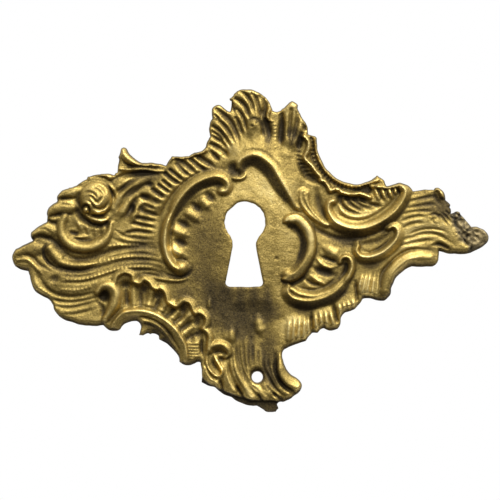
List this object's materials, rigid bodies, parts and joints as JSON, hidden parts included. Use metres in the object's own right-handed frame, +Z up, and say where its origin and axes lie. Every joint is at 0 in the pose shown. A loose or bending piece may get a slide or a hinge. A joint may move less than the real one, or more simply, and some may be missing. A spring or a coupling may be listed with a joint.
{
  "type": "keyhole escutcheon",
  "caption": "Cast brass keyhole escutcheon with an asymmetric carved scroll and shell outline, a flat back, a through keyhole and a fixing pin hole.",
  "frame": {"origin": "centre of the keyhole's round, on the flat back face", "axes": "+X to the right as seen from the front, +Z up, +Y out of the back towards the door it is pinned to; the carved front faces -Y"},
  "size_m": [0.095, 0.005, 0.0645],
  "materials": {
    "brass": "aged gilt, satin, dark in the recesses"
  },
  "bodies": {
    "root": {"keyhole_escutcheon": "brass"}
  },
  "joints": []
}
